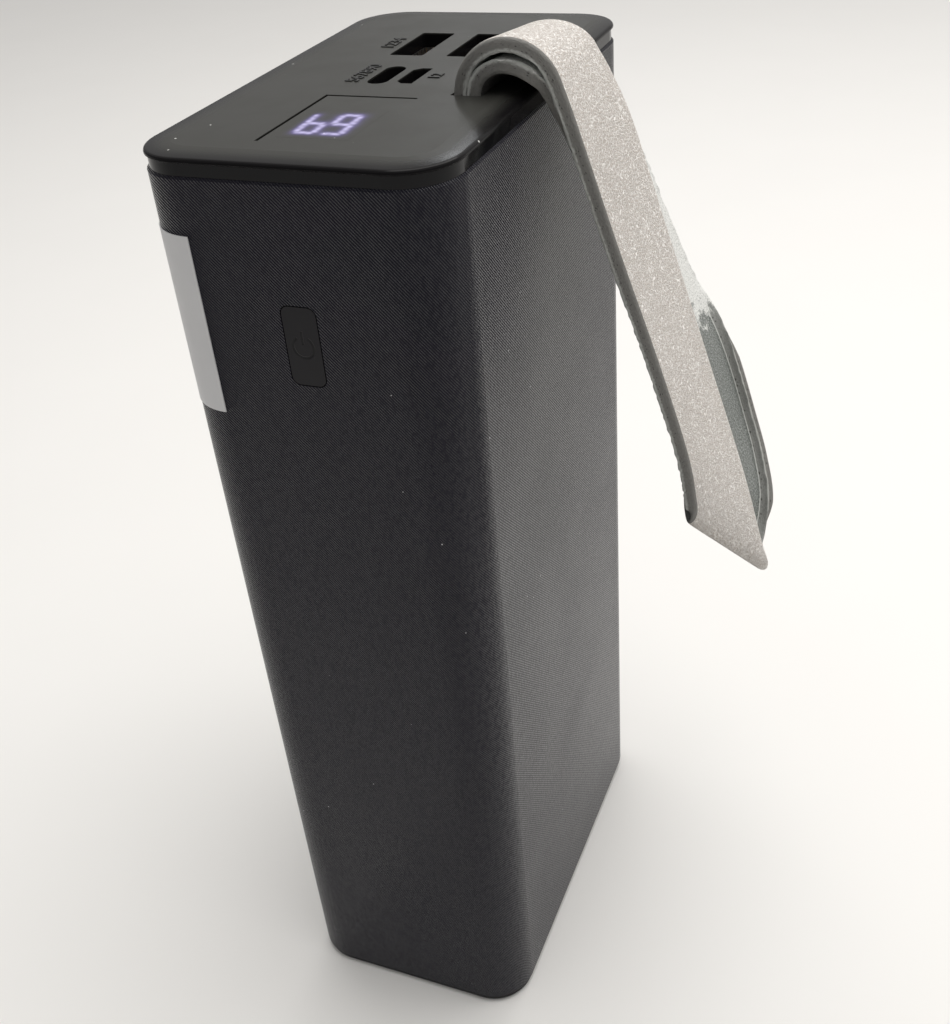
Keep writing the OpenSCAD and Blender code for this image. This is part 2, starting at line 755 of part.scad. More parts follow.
// Stations of the hanging loop below the crest. Each point is measured from the body's side, the near or far end of
// the slot, and the flat top.
front_drop = [
    [[5.5, 0, -2.2], [4.7, 0, -2.4]],
    [[7.6, 0, -8.5], [7.8, 0, -9]],
    [[11.6, 0, -20.5], [12.5, 0, -23]],
    [[17.2, 0, -36.5], [19.6, 0, -44]],
    [[21.6, 0, -50.4], [26.6, 0, -65]],
    [[23.1, 0, -58.2], [30.6, 0, -79]],
    [[23.2, 0.1, -60.6], [31.8, 1.2, -83.6]],
    [[22.7, 1.9, -62.4], [30.8, 3.2, -85.2]]];
// The layer behind, which is further from the front layer's middle by one thickness.
back_drop = [
    [[23.7, 4.6, -62.3], [31.3, 5.2, -84.4]],
    [[23.2, 6.4, -61.3], [31.5, 7.2, -81]],
    [[23.3, 8, -59.4], [32.2, 9.2, -75]],
    [[22.8, 10.4, -57], [30.7, 10.2, -68]],
    [[21.9, 12.3, -53.8], [28.1, 10.6, -61]],
    [[20.0, 11.8, -46.6], [24.3, 10.2, -50.4]],
    [[18.0, 10.4, -40.2], [21, 9, -42.4]],
    [[14.9, 8, -31.5], [16.8, 6.8, -33]],
    [[11.9, 6.5, -22.2], [13, 5.5, -23.2]],
    [[9.7, 5.4, -15.4], [10.3, 4.6, -16]],
    [[7.4, 4.6, -8.8], [7.5, 3.8, -9.2]],
    [[5.4, 3.2, -3.2], [4.8, 2.8, -3.4]]];
function placed(drop, back) = [for (s = drop) [
    s[0] + [body_w / 2 - back, near_y, body_h], s[1] + [body_w / 2 - back, far_y, body_h]]];
loop_stations = concat([for (a = [89 : -12 : 17]) outer_station(a)], placed(front_drop, 0),
    placed(back_drop, strap_t), [for (a = [12 : 14 : 82]) inner_station(a)]);

// Smooth curve through the stations, with points between each pair.
between = 3;
function spline(a, b, c, d, t) = 0.5 * (2 * b + (c - a) * t + (2 * a - 5 * b + 4 * c - d) * t * t
    + (3 * b - a - 3 * c + d) * t * t * t);
function clamped(s, i) = s[max(0, min(len(s) - 1, i))];
function smooth(s) = concat([for (i = [0 : len(s) - 2], k = [0 : between - 1]) [for (e = [0, 1])
    spline(clamped(s, i - 1)[e], clamped(s, i)[e], clamped(s, i + 1)[e], clamped(s, i + 2)[e], k / between)]],
    [s[len(s) - 1]]);
function unit(v) = v / norm(v);
function face_normal(s, i) = let (a = clamped(s, i - 1), b = clamped(s, i + 1))
    unit(cross(b[0] + b[1] - a[0] - a[1], s[i][1] - s[i][0]));

// Leather: a strip of even thickness swept along a ribbon of stations.
module leather(ribbon) {
    last = len(ribbon) - 1;
    points = [for (i = [0 : last]) let (n = face_normal(ribbon, i) * strap_t / 2, r = ribbon[i])
        each [r[0] + n, r[1] + n, r[1] - n, r[0] - n]];
    sides = [for (i = [0 : last - 1], k = [0 : 3]) let (a = 4 * i + k, b = 4 * i + (k + 1) % 4)
        each [[a, b, b + 4], [a, b + 4, a + 4]]];
    ends = [[3, 2, 1, 0], [for (k = [0 : 3]) 4 * last + k]];
    polyhedron(points, concat(sides, ends));
}

module strap_loop() {
    color("#b8ada0") leather(smooth(loop_stations));
}

// The two fixed ends: they rise through the slot and bend as far as the crest.
module strap_root() {
    down = [[0, 0, strap_end_z - bend_z], [0, 0, strap_end_z - bend_z]];
    outer = concat([outer_station(180) + down], [for (a = [180 : -11.125 : 91]) outer_station(a)]);
    inner = concat([inner_station(180) + down], [for (a = [180 : -12 : 84]) inner_station(a)]);
    color("#b8ada0") for (layer = [outer, inner]) difference() {
        leather(layer);
        strap_holes();
    }
}

module strap_holes() {
    for (y = [-1, 1] * strap_screw_y)
        translate([strap_x, strap_y + y, clamp_z + clamp_h / 2]) rotate([0, 90, 0])
            cylinder(h = 8, r = strap_hole_r, center = true);
}

module strap_clamp_bar() {
    color("#8c8e92") difference() {
        translate([clamp_x, near_y - 1, clamp_z]) cube([clamp_t, strap_w + 2, clamp_h]);
        strap_holes();
    }
}

module strap_screws() {
    reach = clamp_t + 2 * strap_t + layer_gap + slot_gap + rib_t - 0.4;
    color("#c8c8cc") for (y = [-1, 1] * strap_screw_y)
        translate([clamp_x + clamp_t, strap_y + y, clamp_z + clamp_h / 2]) rotate([0, 90, 0]) {
            cylinder(h = 0.8, r = head_r);
            translate([0, 0, -reach]) cylinder(h = reach, r = screw_r);
        }
}

sleeve();
base_cap();
neck_ring();
top_cover();
side_label();
cell_cradle_front();
cell_cradle_rear();
battery_cells();
cell_strip_front();
cell_strip_rear();
insulator_front();
insulator_rear();
foam_pads();
board_tray();
board_screws();
circuit_board();
positive_lead();
negative_lead();
power_inductors();
control_chips();
capacitors();
usb_a_shell_left();
usb_a_shell_right();
usb_a_tongue_left();
usb_a_tongue_right();
usb_c_shell();
usb_c_tongue();
micro_usb_shell();
micro_usb_tongue();
display_module();
display_shade();
display_board();
display_header();
tact_switch();
power_button();
switch_plunger();
strap_clamp_bar();
strap_screws();
strap_root();
strap_loop();
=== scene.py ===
# %% [markdown]
# # A pocket power bank with a leather hand strap
#
# The real thing is a tall brick of battery cells in a finely ribbed plastic sleeve, closed by a satin cover
# with sockets and a lit number, and carried by a folded leather strap.
#
# The CAD model already holds every hard piece at its true size, so it is loaded as a fixed frame. What is left
# for Blender is what the eye checks: plastic that catches light, leather with a grain, and a soft strap.

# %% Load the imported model
import bpy
import numpy as np
from mathutils import Matrix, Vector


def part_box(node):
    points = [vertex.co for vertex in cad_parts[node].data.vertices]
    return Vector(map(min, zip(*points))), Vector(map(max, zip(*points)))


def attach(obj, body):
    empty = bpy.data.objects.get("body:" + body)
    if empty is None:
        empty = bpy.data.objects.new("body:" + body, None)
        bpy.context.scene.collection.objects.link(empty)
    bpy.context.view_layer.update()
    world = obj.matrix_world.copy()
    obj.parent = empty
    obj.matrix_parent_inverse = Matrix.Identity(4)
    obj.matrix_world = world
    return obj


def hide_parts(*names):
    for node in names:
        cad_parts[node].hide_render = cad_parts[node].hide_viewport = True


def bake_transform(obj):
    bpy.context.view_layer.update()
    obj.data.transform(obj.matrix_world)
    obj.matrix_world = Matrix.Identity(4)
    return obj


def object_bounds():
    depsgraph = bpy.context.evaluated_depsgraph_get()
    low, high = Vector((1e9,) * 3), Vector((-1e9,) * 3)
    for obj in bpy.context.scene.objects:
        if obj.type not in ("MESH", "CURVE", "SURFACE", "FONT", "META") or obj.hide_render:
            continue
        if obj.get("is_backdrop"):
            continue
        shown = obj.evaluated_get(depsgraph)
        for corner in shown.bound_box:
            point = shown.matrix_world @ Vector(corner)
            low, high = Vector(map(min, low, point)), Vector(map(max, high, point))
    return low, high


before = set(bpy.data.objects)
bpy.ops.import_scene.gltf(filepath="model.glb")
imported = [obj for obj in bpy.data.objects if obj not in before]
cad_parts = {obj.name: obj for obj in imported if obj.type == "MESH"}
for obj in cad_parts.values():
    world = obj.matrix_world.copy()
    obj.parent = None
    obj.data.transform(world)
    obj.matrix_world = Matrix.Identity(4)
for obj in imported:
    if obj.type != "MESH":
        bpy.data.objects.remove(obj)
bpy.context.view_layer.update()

MM = 0.001
body_low, body_high = (np.array(corner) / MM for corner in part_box("sleeve"))
cover_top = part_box("top_cover")[1][2] / MM
print(len(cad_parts), "pieces; the sleeve is", np.round(body_high - body_low, 1), "mm")

# %% [markdown]
# ## The camera
#
# A camera's own axes are right, up and back. They are worked out from how far it stands round the object, how
# far above the horizon it looks down from, and a small roll, and they become the columns of its matrix. That is
# steadier than a Track To constraint, which cannot roll.

# %% Camera
def camera_axes(azimuth, elevation, roll):
    """Right, up and back vectors: back leans from -Y by azimuth and rises by elevation; roll turns the others."""
    a, e, r = np.radians([azimuth, elevation, roll])
    back = np.array([np.sin(a) * np.cos(e), -np.cos(a) * np.cos(e), np.sin(e)])
    right = np.array([np.cos(a), np.sin(a), 0.0])
    up = np.cross(back, right)
    return np.cos(r) * right - np.sin(r) * up, np.sin(r) * right + np.cos(r) * up, back


def place_camera(position, axes, lens, shift):
    """A camera at position in millimetres, whose matrix columns are its axes."""
    camera = bpy.data.objects.new("camera", bpy.data.cameras.new("camera"))
    bpy.context.scene.collection.objects.link(camera)
    matrix = np.eye(4)
    matrix[:3, :3] = np.stack(axes, 1)
    matrix[:3, 3] = np.array(position) * MM
    camera.matrix_world = Matrix(matrix.tolist())
    camera.data.sensor_width, camera.data.lens = 36, lens
    camera.data.shift_x, camera.data.shift_y = shift
    camera.data.clip_start = 0.01
    return camera


EYE = (79.17, -160.92, 205.06)
VIEW_AXES = camera_axes(azimuth=24.6, elevation=36.36, roll=5.26)
bpy.context.scene.camera = place_camera(EYE, VIEW_AXES, lens=43.0, shift=(-0.0069, 0.055))
print("camera", np.round(bpy.context.scene.camera.location, 3))

# %% [markdown]
# ## A short way to write materials
#
# A node material is a small graph. Written call by call it is long, so this class keeps one graph and adds a
# node per line. A value given to a node is either a number, which is set on its socket, or another node's
# output, which is joined to it. Every pattern is measured in millimetres from the object's own coordinates.

# %% The Finish class
class Finish:
    """A material under construction, with one Principled shader."""

    def __init__(self, name, colour, roughness, **sockets):
        self.material = bpy.data.materials.new(name)
        self.material.use_nodes = True
        self.tree = self.material.node_tree
        self.shader = self.tree.nodes["Principled BSDF"]
        self.set(self.shader, {"Base Color": colour, "Roughness": roughness})
        self.set(self.shader, {key.replace("_", " "): value for key, value in sockets.items()})

    def set(self, node, values):
        for key, value in values.items():
            if isinstance(value, bpy.types.NodeSocket):
                self.tree.links.new(value, node.inputs[key])
            else:
                size = getattr(node.inputs[key].default_value, "__len__", lambda: 0)()
                node.inputs[key].default_value = (*value, 1.0)[:size] if size else value

    def add(self, kind, values=(), out=0, **settings):
        node = self.tree.nodes.new("ShaderNode" + kind)
        for key, value in settings.items():
            setattr(node, key, value)
        self.set(node, dict(values))
        return node.outputs[out]

    def math(self, operation, *values, clamp=False):
        return self.add("Math", dict(enumerate(values)), operation=operation, use_clamp=clamp)

    def place(self, scale=(1, 1, 1)):
        """Object coordinates in millimetres, times scale."""
        where = self.add("TexCoord", out="Object")
        return self.add("VectorMath", {0: where, 1: tuple(s / MM for s in scale)}, operation="MULTIPLY")

    def part(self, vector, axis):
        return self.add("SeparateXYZ", {0: vector}, out=axis)

    def noise(self, vector, scale, detail=2.0, roughness=0.5):
        return self.add("TexNoise", {"Vector": vector, "Scale": scale, "Detail": detail, "Roughness": roughness})

    def ramp(self, value, low, high, to_low=0.0, to_high=1.0):
        """Smooth step from to_low, where value is low, up to to_high, where it is high."""
        return self.add("MapRange", {0: value, 1: low, 2: high, 3: to_low, 4: to_high},
                        interpolation_type="SMOOTHSTEP")

    def mix(self, amount, first, second):
        node = self.tree.nodes.new("ShaderNodeMix")
        node.data_type = "RGBA"
        self.set(node, {0: amount})
        for key, value in ((6, first), (7, second)):
            self.set(node, {key: value})
        return node.outputs[2]

    def bump(self, height, distance, strength=1.0, under=None):
        """Normal from a height between 0 and 1 that stands for distance millimetres."""
        values = {"Height": height, "Distance": distance * MM, "Strength": strength}
        if under is not None:
            values["Normal"] = under
        return self.add("Bump", values)

    def finish(self, **sockets):
        self.set(self.shader, {key.replace("_", " "): value for key, value in sockets.items()})
        return self.material


def dress(material, *names):
    """Gives CAD pieces this material in every slot."""
    for name in names:
        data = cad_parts[name].data
        data.materials.clear()
        data.materials.append(material)
    print(material.name, "on", ", ".join(names))


# %% [markdown]
# ## Dust
#
# Dark plastic shows every speck. A Voronoi texture gives one point per cell, and a small radius round each point
# is a speck; a coarse noise takes most of them away, so that they gather in places as real dust does.

# %% Dust mask
def dust(finish, spacing=3.4, radius=0.085, amount=0.52):
    """1 within radius of a scattered point, 0 elsewhere; amount sets how much of the surface is clean."""
    where = finish.place()
    near = finish.add("TexVoronoi", {"Vector": where, "Scale": 1 / spacing}, out="Distance")
    chosen = finish.ramp(finish.noise(where, 0.19, 1.0), amount, amount + 0.05)
    speck = finish.ramp(near, radius / spacing, radius * 1.6 / spacing, 1.0, 0.0)
    return finish.math("MULTIPLY", speck, chosen)


# %% [markdown]
# ## The ribbed sleeve
#
# The sleeve is moulded in black plastic with fine slanting ribs, about a third of a millimetre apart, that run
# round its corners without a break. A plane wave along the diagonal (1, 1, 1) does that: on every wall it cuts
# the surface in lines at 45 degrees. Short breaks along each rib make it read as a weave.

# %% Sleeve finish
RIB_WAVE = (12.4, 12.4, 12.4)


def ribbed_plastic():
    """Height = sine of the distance along (1, 1, 1), cut into short dashes by a stretched noise. The valleys
    mirror less than the crests, as the crests hide the sky from them."""
    f = Finish("ribbed_plastic", (0.009, 0.008, 0.0105), 0.25, Specular_IOR_Level=0.22)
    where = f.place()
    along = f.add("VectorMath", {0: where, 1: RIB_WAVE}, out="Value", operation="DOT_PRODUCT")
    ribs = f.math("MULTIPLY_ADD", f.math("SINE", along), 0.5, 0.5)
    dashes = f.noise(f.place((1.6, 1.6, 0.9)), 1.0, 2.0)
    height = f.math("MULTIPLY", ribs, f.ramp(dashes, 0.25, 0.75, 0.55, 1.0))
    mottle = f.noise(where, 0.06, 3.0)
    specks = dust(f)
    colour = f.mix(mottle, (0.0085, 0.008, 0.0135), (0.0115, 0.011, 0.0175))
    rough = f.math("ADD", f.ramp(mottle, 0.3, 0.7, 0.22, 0.27), f.math("MULTIPLY", specks, 0.4))
    return f.finish(Base_Color=f.mix(specks, colour, (0.5, 0.5, 0.5)), Roughness=rough,
                    Specular_IOR_Level=f.ramp(height, 0.1, 0.9, 0.07, 0.52), Normal=f.bump(height, 0.08, 1.0))


dress(ribbed_plastic(), "sleeve")

# %% [markdown]
# ## Cover, band and base
#
# The cover is the same plastic left satin, with a very fine spark-eroded grain. The band below it is polished,
# so it needs a low roughness and almost no colour of its own: all that shows is what it mirrors. The base rim
# is plain and matte.

# %% Cover, band and base finishes
def satin_plastic(name, colour, roughness, grain=0.006, polished_and_painted_shade_below=None, lit=False):
    """Fine noise for the moulded grain and a slow one that varies the roughness and tone; below the given height the
    mould was polished, and there the colour is painted far darker: painted shade on the bevel and the sides; lit adds
    light from the glow attribute."""
    f = Finish(name, colour, roughness, Specular_IOR_Level=0.22)
    where = f.place()
    slow = f.noise(where, 0.09, 3.0)
    specks = dust(f, 3.0, 0.12, 0.5)
    shade = f.mix(slow, tuple(c * 0.82 for c in colour), colour)
    rough = f.ramp(slow, 0.3, 0.7, roughness - 0.04, roughness + 0.04)
    if polished_and_painted_shade_below is not None:
        satin = f.ramp(f.part(where, "Z"), polished_and_painted_shade_below - 0.35, polished_and_painted_shade_below)
        rough = f.math("MULTIPLY", rough, f.math("MULTIPLY_ADD", satin, 0.6, 0.4))
        # Painted shade: below the flat top, bevel and sides included, the colour is made far darker than the cover's
        # tone.
        shade = f.mix(satin, (0.006, 0.0055, 0.006), shade)
        f.finish(Specular_IOR_Level=f.math("MULTIPLY_ADD", satin, 0.09, 0.13))
    if lit:
        glow = f.add("Attribute", attribute_name="glow", out="Fac")
        f.finish(Emission_Color=f.mix(f.ramp(glow, 0.1, 0.9), (0.3, 0.22, 0.8), (0.66, 0.6, 1.0)),
                 Emission_Strength=f.math("MULTIPLY", glow, 0.75))
    return f.finish(Base_Color=f.mix(specks, shade, (0.62, 0.62, 0.6)), Roughness=rough,
                    Normal=f.bump(f.noise(where, 9.0, 2.0), grain))


def gloss_plastic():
    """Polished black: a little orange-peel waviness in the mirror."""
    f = Finish("gloss_band", (0.004, 0.004, 0.005), 0.07, Specular_IOR_Level=0.2)
    where = f.place()
    return f.finish(Roughness=f.ramp(f.noise(where, 0.5, 2.0), 0.3, 0.7, 0.05, 0.1),
                    Normal=f.bump(f.noise(where, 0.35, 1.0), 0.012))


COVER_TONE = (0.037, 0.037, 0.033)
dress(satin_plastic("satin_cover", COVER_TONE, 0.36, polished_and_painted_shade_below=cover_top - 0.005), "top_cover")
dress(gloss_plastic(), "neck_ring")
dress(satin_plastic("matte_base", (0.012, 0.012, 0.013), 0.5, 0.012), "base_cap")

# %% [markdown]
# ## The power button
#
# The button is flush and smooth, with a small sign pressed into it: a ring open at the top with a bar in the
# gap. The sign is less than 0.1 mm deep, so it is drawn in the height of the material, from the distance to a
# circle and to a line, instead of being cut into the mesh.

# %% Button finish
button_low, button_high = (np.array(corner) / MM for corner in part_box("power_button"))
button_middle = (button_low + button_high) / 2


def pressed_button(radius=1.5, line=0.17):
    """Groove where |distance to the middle - radius| < line outside the gap, or on the bar in the gap."""
    f = Finish("pressed_button", (0.009, 0.0084, 0.0105), 0.38, Specular_IOR_Level=0.22)
    where = f.place()
    x = f.math("SUBTRACT", f.part(where, "X"), float(button_middle[0]))
    z = f.math("SUBTRACT", f.part(where, "Z"), float(button_middle[2]))
    away = f.math("SQRT", f.math("ADD", f.math("MULTIPLY", x, x), f.math("MULTIPLY", z, z)))
    ring = f.ramp(f.math("ABSOLUTE", f.math("SUBTRACT", away, radius)), line * 0.6, line * 1.2, 1.0, 0.0)
    side = f.math("ABSOLUTE", x)
    closed = f.ramp(f.math("SUBTRACT", z, f.math("MULTIPLY", side, 1.5)), 0.0, 0.15, 1.0, 0.0)
    bar = f.math("MULTIPLY", f.ramp(side, line * 0.6, line * 1.2, 1.0, 0.0),
                 f.ramp(f.math("ABSOLUTE", f.math("SUBTRACT", z, 1.35)), 0.85, 1.0, 1.0, 0.0))
    sign = f.math("MAXIMUM", f.math("MULTIPLY", ring, closed), bar)
    grain = f.bump(f.noise(where, 9.0, 2.0), 0.006)
    # Painted shade: the groove of the sign is coloured darker than the face of the button.
    colour = f.mix(sign, (0.009, 0.0084, 0.0105), (0.004, 0.004, 0.005))
    return f.finish(Base_Color=colour, Normal=f.bump(f.math("SUBTRACT", 1.0, sign), 0.09, 1.0, grain))


dress(pressed_button(), "power_button")

# %% [markdown]
# ## The blank label
#
# A pale grey film is wrapped round one corner. It has no print. What shows that it is a film is its own low
# sheen, a slight unevenness from the glue, and the faint ribs of the sleeve that press through it.

# %% Label finish
def label_film():
    """Slow noise for glue, and the sleeve's wave at a tenth of its depth."""
    f = Finish("label_film", (0.5, 0.5, 0.51), 0.42)
    where = f.place()
    glue = f.noise(where, 0.12, 3.0)
    along = f.add("VectorMath", {0: where, 1: RIB_WAVE}, out="Value", operation="DOT_PRODUCT")
    ribs = f.math("MULTIPLY_ADD", f.math("SINE", along), 0.5, 0.5)
    return f.finish(Base_Color=f.mix(glue, (0.58, 0.58, 0.59), (0.64, 0.64, 0.645)),
                    Normal=f.bump(ribs, 0.003, 1.0, f.bump(glue, 0.25)))


dress(label_film(), "side_label")

# %% [markdown]
# ## Sockets and what lies inside
#
# The sockets are seen down their openings: bright steel shells round black tongues with gold contacts. The
# cells, boards and leads are hidden until the cover is lifted, but each still gets the finish of its real
# stuff, so that an opened or cut view of the part holds up.

# %% Metal and inner finishes
def metal(name, colour, roughness, stretch=(1, 1, 1)):
    """Noise stretched along one axis, as rolling and drawing leave it."""
    f = Finish(name, colour, roughness, Metallic=1.0)
    lines = f.noise(f.place(stretch), 3.0, 3.0)
    return f.finish(Roughness=f.ramp(lines, 0.3, 0.7, roughness - 0.07, roughness + 0.1), Normal=f.bump(lines, 0.01))


def moulded(name, first, second, scale, roughness, depth, **sockets):
    """Two close tones and a height from one noise of the given scale per millimetre."""
    f = Finish(name, first, roughness, **sockets)
    pattern = f.noise(f.place(), scale, 3.0)
    return f.finish(Base_Color=f.mix(pattern, first, second), Normal=f.bump(pattern, depth))


def circuit_green():
    """Solder mask over copper tracks: brick courses stand for the tracks."""
    f = Finish("circuit_green", (0.01, 0.11, 0.04), 0.3, Coat_Weight=0.3)
    where = f.place()
    flat = f.add("CombineXYZ", {0: f.part(where, "Y"), 1: f.part(where, "Z")})
    tracks = f.add("TexBrick", {"Vector": flat, "Scale": 0.4, "Mortar Size": 0.04, "Color1": (1, 1, 1),
                                "Color2": (0.7, 0.7, 0.7), "Mortar": (0, 0, 0)})
    return f.finish(Base_Color=f.mix(tracks, (0.02, 0.16, 0.06), (0.008, 0.09, 0.032)), Normal=f.bump(tracks, 0.03))


def tongue(name, contact_edge):
    """Black moulding; the thin part left of contact_edge is the row of gold contacts."""
    f = Finish(name, (0.012, 0.011, 0.011), 0.45)
    where = f.place()
    gold = f.ramp(f.part(where, "X"), contact_edge - 0.01, contact_edge + 0.01, 1.0, 0.0)
    above = f.ramp(f.part(where, "Z"), cover_top - 12.0, cover_top - 11.9)
    gold = f.math("MULTIPLY", gold, above)
    black = f.mix(f.noise(where, 2.0), (0.012, 0.011, 0.011), (0.022, 0.02, 0.019))
    return f.finish(Base_Color=f.mix(gold, black, (0.75, 0.48, 0.16)), Metallic=gold,
                    Normal=f.bump(f.noise(where, 4.0), 0.01))


steel = metal("socket_steel", (0.42, 0.42, 0.43), 0.3, (1, 1, 0.15))
dress(steel, "usb_a_shell_left", "usb_a_shell_right", "usb_c_shell", "micro_usb_shell")
SOCKET_HALF, CONTACT_EDGE = 2.85, 0.31
for side in ("left", "right"):
    low, high = (np.array(corner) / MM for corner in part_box("usb_a_shell_" + side))
    middle = low[0] + SOCKET_HALF if side == "left" else high[0] - SOCKET_HALF
    dress(tongue("socket_tongue_" + side, float(middle) + CONTACT_EDGE), "usb_a_tongue_" + side)
dress(moulded("socket_black", (0.012, 0.012, 0.012), (0.02, 0.02, 0.02), 3.0, 0.45, 0.01),
      "usb_c_tongue", "micro_usb_tongue")
dress(moulded("cradle_plastic", (0.012, 0.012, 0.013), (0.02, 0.02, 0.021), 1.5, 0.5, 0.015),
      "cell_cradle_front", "cell_cradle_rear", "board_tray")
dress(moulded("cell_wrap", (0.02, 0.13, 0.36), (0.03, 0.17, 0.42), 0.2, 0.25, 0.02, Coat_Weight=0.5), "battery_cells")
dress(metal("nickel", (0.62, 0.6, 0.55), 0.28, (1, 1, 0.2)), "cell_strip_front", "cell_strip_rear")
dress(moulded("fish_paper", (0.12, 0.2, 0.1), (0.17, 0.25, 0.14), 2.5, 0.8, 0.03),
      "insulator_front", "insulator_rear")
dress(moulded("foam", (0.03, 0.03, 0.03), (0.06, 0.06, 0.06), 4.0, 0.9, 0.2), "foam_pads")
dress(circuit_green(), "circuit_board", "display_board")
dress(metal("screw_steel", (0.6, 0.6, 0.62), 0.3), "board_screws", "strap_screws", "strap_clamp_bar")
dress(moulded("lead_red", (0.42, 0.02, 0.015), (0.5, 0.03, 0.02), 1.0, 0.4, 0.01), "positive_lead")
dress(moulded("lead_black", (0.01, 0.01, 0.01), (0.018, 0.018, 0.018), 1.0, 0.4, 0.01), "negative_lead")
dress(moulded("ferrite", (0.05, 0.05, 0.055), (0.08, 0.08, 0.085), 3.0, 0.7, 0.05), "power_inductors")
dress(moulded("chip_black", (0.01, 0.01, 0.011), (0.016, 0.016, 0.017), 6.0, 0.5, 0.01),
      "control_chips", "display_header")
dress(metal("capacitor_can", (0.62, 0.63, 0.65), 0.25, (0.2, 1, 1)), "capacitors")
dress(moulded("display_white", (0.7, 0.68, 0.76), (0.78, 0.76, 0.84), 1.0, 0.3, 0.005), "display_module")
dress(moulded("shade_black", (0.008, 0.008, 0.009), (0.014, 0.014, 0.015), 3.0, 0.6, 0.01), "display_shade")
dress(metal("switch_can", (0.55, 0.56, 0.58), 0.35), "tact_switch")
dress(moulded("plunger_red", (0.3, 0.04, 0.03), (0.36, 0.05, 0.035), 2.0, 0.4, 0.01), "switch_plunger")

# %% [markdown]
# ## The lit number
#
# The charge is shown by two seven-segment digits that shine through the thin plastic, so their edges are soft
# and they have a violet-white halo. A fine grid lies on the cover over the window. Each of its points carries
# one value, the light that reaches it, worked out at once for the whole grid from the distance to every lit
# segment. A mesh attribute keeps that pattern sharp at any size, where an image would not.

# %% Digits
SEGMENTS = {"top": ((0, 2), (1, 2)), "middle": ((0, 1), (1, 1)), "bottom": ((0, 0), (1, 0)),
            "upper_left": ((0, 1), (0, 2)), "upper_right": ((1, 1), (1, 2)),
            "lower_left": ((0, 0), (0, 1)), "lower_right": ((1, 0), (1, 1))}
LIT = {"6": ("upper_left", "middle", "lower_left", "bottom", "lower_right"),
       "9": ("top", "upper_left", "upper_right", "middle", "lower_right", "bottom")}


def segment_distance(points, start, end):
    """Distance from each point to the line from start to end."""
    run = np.subtract(end, start)
    share = np.clip(((points - start) @ run) / (run @ run), 0.0, 1.0)
    return np.linalg.norm(points - (start + share[..., None] * run), axis=-1)


def digit_light(points, origin, digit, size=(2.5, 3.7), lean=-0.08):
    """Light of one digit: a soft core on each lit segment, broken up by slow waves, and a faint wide halo."""
    light = np.zeros(points.shape[:-1])
    halo = np.zeros(points.shape[:-1])
    for name in LIT[digit]:
        (x0, y0), (x1, y1) = SEGMENTS[name]
        start, end = (np.array([origin[0] + x * size[0] + y * size[1] * lean, origin[1] + y * size[1]])
                      for x, y in ((x0, y0), (x1, y1)))
        inset = (end - start) * 0.16
        away = segment_distance(points, start + inset, end - inset)
        light = np.maximum(light, 1.0 / (1.0 + np.exp((away - 0.42) / 0.17)))
        halo += np.exp(-((away / 1.2) ** 2)) * 0.12
    x, y = points[..., 0], points[..., 1]
    blotch = 0.82 + 0.18 * np.sin(4.3 * x + 2.1 * y) * np.cos(3.4 * y - 1.3 * x)
    return light * blotch + halo


def grid_sheet(name, x_range, y_range, z, step, thickness):
    """A closed flat box whose top is a grid of the given step, its rim joined to one bottom face."""
    xs = np.linspace(*x_range, int(round((x_range[1] - x_range[0]) / step)) + 1)
    ys = np.linspace(*y_range, int(round((y_range[1] - y_range[0]) / step)) + 1)
    X, Y = np.meshgrid(xs, ys)
    top = np.stack([X, Y, np.full_like(X, z)], -1).reshape(-1, 3)
    index = np.arange(X.size).reshape(X.shape)
    quads = np.stack([index[:-1, :-1], index[:-1, 1:], index[1:, 1:], index[1:, :-1]], -1).reshape(-1, 4)
    rim = np.concatenate([index[0], index[1:, -1], index[-1, -2::-1], index[-2:0:-1, 0]])
    bottom = top[rim] - [0, 0, thickness]
    low = np.arange(len(rim)) + len(top)
    walls = np.stack([rim, low, np.roll(low, -1), np.roll(rim, -1)], -1)
    mesh = bpy.data.meshes.new(name)
    mesh.from_pydata((np.concatenate([top, bottom]) * MM).tolist(), [],
                     quads.tolist() + walls.tolist() + [low[::-1].tolist()])
    piece = bpy.data.objects.new(name, mesh)
    bpy.context.scene.collection.objects.link(piece)
    return piece, np.concatenate([top, bottom])


display_low, display_high = (np.array(corner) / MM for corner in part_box("display_shade"))
GLOW_LIFT, GLOW_STEP, GLOW_THICK, GLOW_FADE = 0.006, 0.1, 0.02, 1.2
glow_piece, glow_points = grid_sheet("display_glow", (display_low[0], display_high[0]),
                                     (display_low[1], display_high[1]), cover_top + GLOW_LIFT, GLOW_STEP, GLOW_THICK)
window_middle = (display_low + display_high) / 2
light = digit_light(glow_points[:, :2], (window_middle[0] - 3.3, window_middle[1] - 3.9), "6")
light = light + digit_light(glow_points[:, :2], (window_middle[0] + 0.5, window_middle[1] - 3.9), "9")
to_edge = [np.minimum(glow_points[:, k] - display_low[k], display_high[k] - glow_points[:, k]) for k in (0, 1)]
edge = np.minimum(*(np.clip(gap / GLOW_FADE, 0, 1) for gap in to_edge))
glow = glow_piece.data.attributes.new("glow", "FLOAT", "POINT")
glow.data.foreach_set("value", (light * edge).astype(np.float32))
glow_piece.data.materials.append(satin_plastic("lit_cover", COVER_TONE, 0.36, lit=True))
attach(glow_piece, "housing")
print("glow grid", len(glow_piece.data.vertices), "points, brightest", round(float(light.max()), 2))

# %% [markdown]
# ## Plain marks by the sockets
#
# Each socket has a small printed mark. Here they are plain numbers. A text object is the natural way to draw a
# number; it is turned into a mesh and its place is written into the mesh.

# %% Printed marks
MARK_DEPTH, MARK_SPREAD, MARK_LIFT = 0.07, 0.02, 0.06


